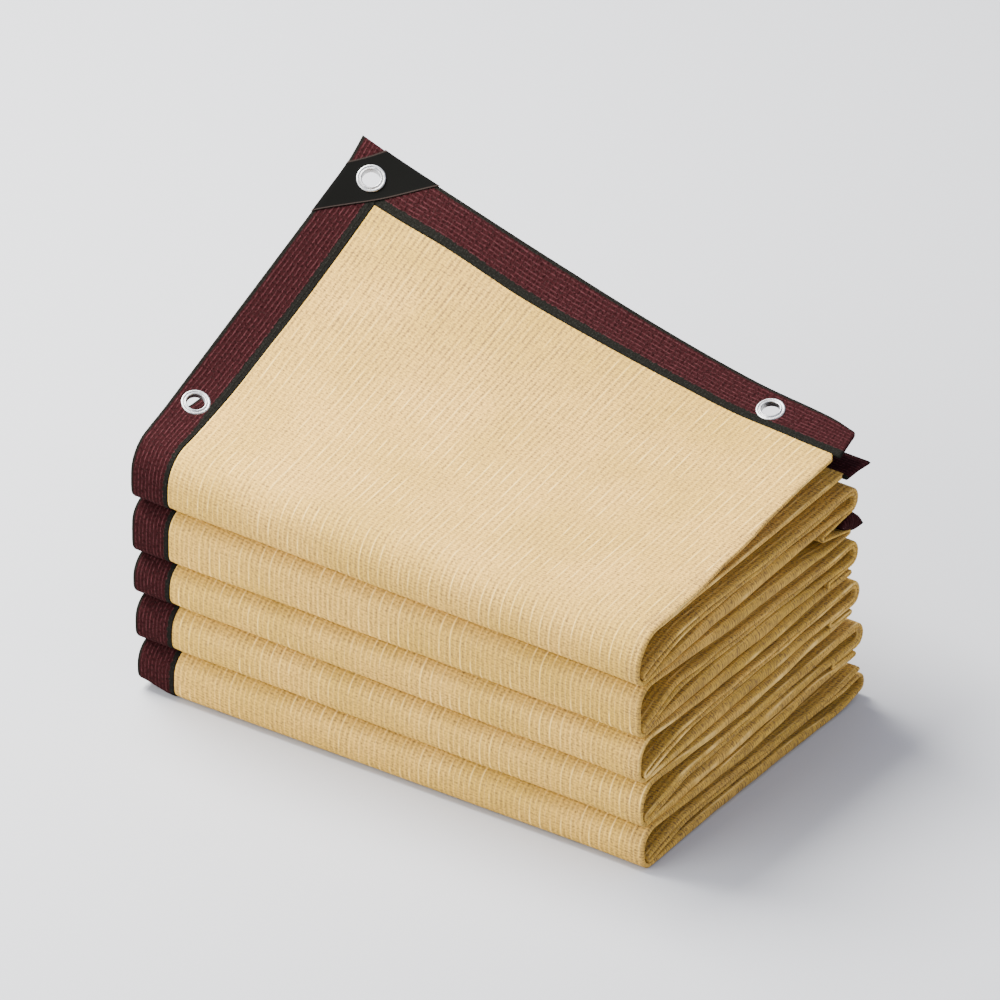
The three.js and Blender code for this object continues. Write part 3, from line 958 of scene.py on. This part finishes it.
class TapeSettings(bpy.types.PropertyGroup):
    rib_pitch: pitch("Spacing of the tape's ribs, in millimetres", 3.6)
    ground_colour: tone("Ground", "Ground colour of the tape", (0.024, 0.0055, 0.006))
    ridge_colour: tone("Ridge", "Raised ribs of the tape", (0.07, 0.021, 0.023))
    gap_colour: tone("Gap", "Open stitches between the ribs", (0.0095, 0.002, 0.0022))
    black_colour: tone("Edge", "Black edges of the tape", (0.0075, 0.0072, 0.0056))
    fleck_colour: tone("Fleck", "Pale flecks in the black edge", (0.028, 0.027, 0.022))


class PatchSettings(bpy.types.PropertyGroup):
    patch_colour: tone("Patch", "The corner patch", (0.0045, 0.0044, 0.0038))
    thread_colour: tone("Thread", "Threads along the patch's edges", (0.034, 0.024, 0.02))


class MetalSettings(bpy.types.PropertyGroup):
    scuffed_colour: tone("Scuffed", "Duller places of the rings", (0.36, 0.36, 0.355))
    bright_colour: tone("Bright", "Brighter places of the rings", (0.52, 0.515, 0.50))


def give(piece, material, slot, *nodes):
    """Finishes a piece: its material, its body and the nodes that it stands for. The slot is not
    used.
    """
    piece.data.materials.clear()
    piece.data.materials.append(material)
    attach(piece, "root")
    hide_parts(*nodes)


class CANOPY_OT_cloth(bpy.types.Operator):
    """Builds the knitted cloth with all its folds"""

    bl_idname = "canopy.cloth"
    bl_label = "Cloth"

    def execute(self, context):
        material = cloth_material(context.scene.canopy_cloth)
        main = closed_sheet("mesh_cloth", *cloth_grid())
        give(main, material, "mesh_cloth", "cloth")
        under = closed_sheet("mesh_under_ply", *under_grid())
        give(under, material, "mesh_cloth")
        return {"FINISHED"}


class CANOPY_OT_binding(bpy.types.Operator):
    """Builds the binding on the cloth's edges"""

    bl_idname = "canopy.binding"
    bl_label = "Binding"

    def execute(self, context):
        settings = context.scene.canopy_tape
        plain = tape_material("Binding", settings, False)
        crossed = tape_material("Far binding", settings, True)
        side = closed_sheet("binding_side", *side_tape_grid())
        give(side, plain, "edge_tape", "side_tape_folds", "side_tape_flap")
        far = closed_sheet("binding_far", *far_tape_grid())
        give(far, crossed, "edge_tape", "far_tape_flap")
        upper_grid = strip_grid(0, RIGHT_END, UPPER_STRIP, TAPE_HALF)
        upper = closed_sheet("binding_under_upper", *upper_grid)
        give(upper, plain, "edge_tape", "under_tape_upper")
        lower_grid = strip_grid(0, LOWER_STRIP_END, LOWER_STRIP, LOWER_STRIP_SWELL)
        lower = closed_sheet("binding_under_lower", *lower_grid)
        give(lower, plain, "edge_tape", "under_tape_lower")
        hidden = closed_sheet("binding_under_side", *under_side_grid())
        give(hidden, plain, "edge_tape")
        return {"FINISHED"}


class CANOPY_OT_patch(bpy.types.Operator):
    """Builds the black reinforcing patch across the flap's corner"""

    bl_idname = "canopy.patch"
    bl_label = "Corner patch"

    def execute(self, context):
        patch = closed_sheet("corner_patch_sheet", *patch_grid())
        give(patch, patch_material(context.scene.canopy_patch), "patch_sheet", "corner_patch")
        return {"FINISHED"}


# The eyelet's ring, step by step round its section: radius and height, both in millimetres, height
# above or below the sheet's faces. The upper side has a raised inner rim, a groove and a dome.
RING_LOWER = (
    (8.0, -0.4),
    (8.5, -1.4),
    (10.2, -1.5),
    (11.6, -1.2),
    (12.7, -0.3),
    (12.6, 0.0),
    (9.4, 0.0),
)
RING_UPPER = (
    (9.4, 0.0),
    (12.6, 0.0),
    (12.75, 0.35),
    (12.3, 0.95),
    (11.6, 1.2),
    (10.9, 1.1),
    (10.35, 0.55),
    (9.9, 0.6),
    (9.5, 1.25),
    (9.0, 1.6),
    (8.4, 1.5),
    (8.0, 1.0),
)
# The hole in the sheets, how clear of them the ring lies, and how much higher on the patch.
HOLE_CUT = 9.0
RING_CLEAR = 0.3
PATCH_RISE = 1.5


def ring_section(above, below):
    """The section's steps, at the heights of the sheet's two faces."""
    lower = [(r, -below + h) for r, h in RING_LOWER]
    upper = [(r, above + h) for r, h in RING_UPPER]
    return lower + upper


def eyelet_place(x, y):
    """Where a ring sits on the flap, and how it leans with it."""
    step = 8.0
    slope_x = (flap_mid(x + step, y) - flap_mid(x - step, y)) / (2 * step)
    slope_y = (flap_mid(x, y + step) - flap_mid(x, y - step)) / (2 * step)
    normal = Vector((-slope_x, -slope_y, 1)).normalized()
    turn = Vector((0, 0, 1)).rotation_difference(normal).to_matrix().to_4x4()
    return Matrix.Translation(place(x, y, flap_mid(x, y))) @ turn


def make_ring(name, x, y, patched):
    """A ring drawn out of one circle, extruded and scaled round its section."""
    face = SHEET / 2 + RING_CLEAR
    section = ring_section(face + (PATCH_RISE if patched else 0.0), face)
    bpy.ops.object.select_all(action="DESELECT")
    first = section[0]
    bpy.ops.mesh.primitive_circle_add(vertices=72, radius=first[0] * MM, location=(0, 0, 0))
    ring = bpy.context.object
    ring.name = ring.data.name = name
    bpy.ops.object.mode_set(mode="EDIT")
    bpy.ops.mesh.select_all(action="SELECT")
    bpy.ops.transform.translate(value=(0, 0, first[1] * MM))
    for before, after in zip(section, section[1:] + section[:1]):
        bpy.ops.mesh.extrude_edges_move(TRANSFORM_OT_translate={"value": (0, 0, 0)})
        scale = after[0] / before[0]
        bpy.ops.transform.resize(value=(scale, scale, 1), center_override=(0, 0, 0))
        bpy.ops.transform.translate(value=(0, 0, (after[1] - before[1]) * MM))
    bpy.ops.mesh.select_all(action="SELECT")
    bpy.ops.mesh.remove_doubles(threshold=0.00001)
    bpy.ops.mesh.normals_make_consistent(inside=False)
    bpy.ops.object.mode_set(mode="OBJECT")
    bevel = ring.modifiers.new("Soft edges", "BEVEL")
    bevel.width = 0.00025
    bevel.segments = 2
    bevel.limit_method = "ANGLE"
    bpy.ops.object.modifier_apply(modifier=bevel.name)
    ring.matrix_world = eyelet_place(x, y)
    bpy.ops.object.transform_apply(location=True, rotation=True, scale=True)
    bpy.ops.object.shade_smooth_by_angle(angle=math.radians(35))
    return ring


def open_hole(piece, x, y):
    """Cuts the eyelet's round hole through a piece."""
    bpy.ops.object.select_all(action="DESELECT")
    bpy.ops.mesh.primitive_cylinder_add(
        vertices=48, radius=HOLE_CUT * MM, depth=0.02, location=(0, 0, 0)
    )
    cutter = bpy.context.object
    cutter.matrix_world = eyelet_place(x, y)
    bpy.ops.object.transform_apply(location=True, rotation=True, scale=True)
    bpy.ops.object.select_all(action="DESELECT")
    piece.select_set(True)
    bpy.context.view_layer.objects.active = piece
    cut = piece.modifiers.new("Hole", "BOOLEAN")
    cut.operation = "DIFFERENCE"
    cut.solver = "EXACT"
    cut.object = cutter
    bpy.ops.object.modifier_apply(modifier=cut.name)
    bpy.data.objects.remove(cutter)


class CANOPY_OT_eyelets(bpy.types.Operator):
    """Builds the three metal eyelets"""

    bl_idname = "canopy.eyelets"
    bl_label = "Eyelets"

    def execute(self, context):
        metal = metal_material(context.scene.canopy_metal)
        for node, x, y, sheets in EYELETS:
            ring = make_ring(node + "_ring", x, y, "corner_patch_sheet" in sheets)
            give(ring, metal, "eyelet_metal", node)
            for sheet in sheets:
                open_hole(bpy.data.objects[sheet], x, y)
        return {"FINISHED"}


# The camera, nearly parallel: what the middle of the picture shows, its angle, lens and distance.
VIEW_AZIMUTH = 34.0
VIEW_ELEVATION = 32.3
VIEW_MIDDLE = (258.3, 165.0, 193.5)
VIEW_LENS = 1500.0
VIEW_DISTANCE = 35.15

# The soft light: name, size, watts, place and what it points at, in metres.
LIGHTS = (
    ("Key", 1.7, 318.0, (-1.4, 0.1, 2.4), (0, 0, 0.15)),
    ("Fill", 2.2, 118.0, (-1.1, -2.3, 1.35), (0, 0, 0.1)),
    ("Side", 2.2, 14.0, (2.5, 0.1, 1.1), (0.2, 0, 0.1)),
)
ROOM_COLOUR = (0.9, 0.96, 1.2, 1.0)
ROOM_STRENGTH = 0.78


def add_light(name, size, energy, location, target):
    data = bpy.data.lights.new(name, "AREA")
    data.size = size
    data.energy = energy
    lamp = bpy.data.objects.new(name, data)
    lamp.location = location
    lamp.rotation_mode = "QUATERNION"
    lamp.rotation_quaternion = (Vector(target) - Vector(location)).to_track_quat("-Z", "Y")
    bpy.context.scene.collection.objects.link(lamp)


class CANOPY_OT_stage(bpy.types.Operator):
    """Sets the pale floor, the soft light and the camera"""

    bl_idname = "canopy.stage"
    bl_label = "Stage"

    def execute(self, context):
        bpy.ops.object.select_all(action="DESELECT")
        bpy.ops.mesh.primitive_plane_add(size=30, location=(0, 0, -0.0005))
        floor = bpy.context.object
        floor.name = "floor"
        floor.data.materials.append(floor_material())
        world = bpy.data.worlds.new("Pale room")
        world.use_nodes = True
        background = world.node_tree.nodes["Background"]
        background.inputs["Color"].default_value = ROOM_COLOUR
        background.inputs["Strength"].default_value = ROOM_STRENGTH
        context.scene.world = world
        for light in LIGHTS:
            add_light(*light)
        camera = bpy.data.objects.new("Camera", bpy.data.cameras.new("Camera"))
        context.scene.collection.objects.link(camera)
        a, e = math.radians(VIEW_AZIMUTH), math.radians(VIEW_ELEVATION)
        back = Vector((math.sin(a) * math.cos(e), -math.cos(a) * math.cos(e), math.sin(e)))
        camera.data.lens = VIEW_LENS
        camera.data.sensor_width = 36.0
        camera.data.clip_start = 10.0
        camera.data.clip_end = 100.0
        camera.location = place(*VIEW_MIDDLE) + back * VIEW_DISTANCE
        camera.rotation_mode = "QUATERNION"
        camera.rotation_quaternion = (-back).to_track_quat("-Z", "Y")
        context.scene.camera = camera
        return {"FINISHED"}


class CANOPY_PT_panel(bpy.types.Panel):
    """Lists the steps that build the canopy"""

    bl_idname = "CANOPY_PT_panel"
    bl_label = "Folded canopy"
    bl_space_type = "VIEW_3D"
    bl_region_type = "UI"
    bl_category = "Canopy"

    def draw(self, context):
        for step in STEPS:
            self.layout.operator(step.bl_idname)


STEPS = (CANOPY_OT_cloth, CANOPY_OT_binding, CANOPY_OT_patch, CANOPY_OT_eyelets, CANOPY_OT_stage)
GROUPS = (ClothSettings, TapeSettings, PatchSettings, MetalSettings)
CLASSES = (*GROUPS, *STEPS, CANOPY_PT_panel)


def register():
    for cls in CLASSES:
        bpy.utils.register_class(cls)
    bpy.types.Scene.canopy_cloth = bpy.props.PointerProperty(type=ClothSettings)
    bpy.types.Scene.canopy_tape = bpy.props.PointerProperty(type=TapeSettings)
    bpy.types.Scene.canopy_patch = bpy.props.PointerProperty(type=PatchSettings)
    bpy.types.Scene.canopy_metal = bpy.props.PointerProperty(type=MetalSettings)


def unregister():
    del bpy.types.Scene.canopy_metal
    del bpy.types.Scene.canopy_cloth
    del bpy.types.Scene.canopy_tape
    del bpy.types.Scene.canopy_patch
    for cls in reversed(CLASSES):
        bpy.utils.unregister_class(cls)


def main():
    """Builds every piece in order."""
    register()
    bpy.ops.canopy.binding()
    bpy.ops.canopy.cloth()
    bpy.ops.canopy.patch()
    bpy.ops.canopy.eyelets()
    bpy.ops.canopy.stage()
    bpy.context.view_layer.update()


if __name__ == "__main__":
    main()
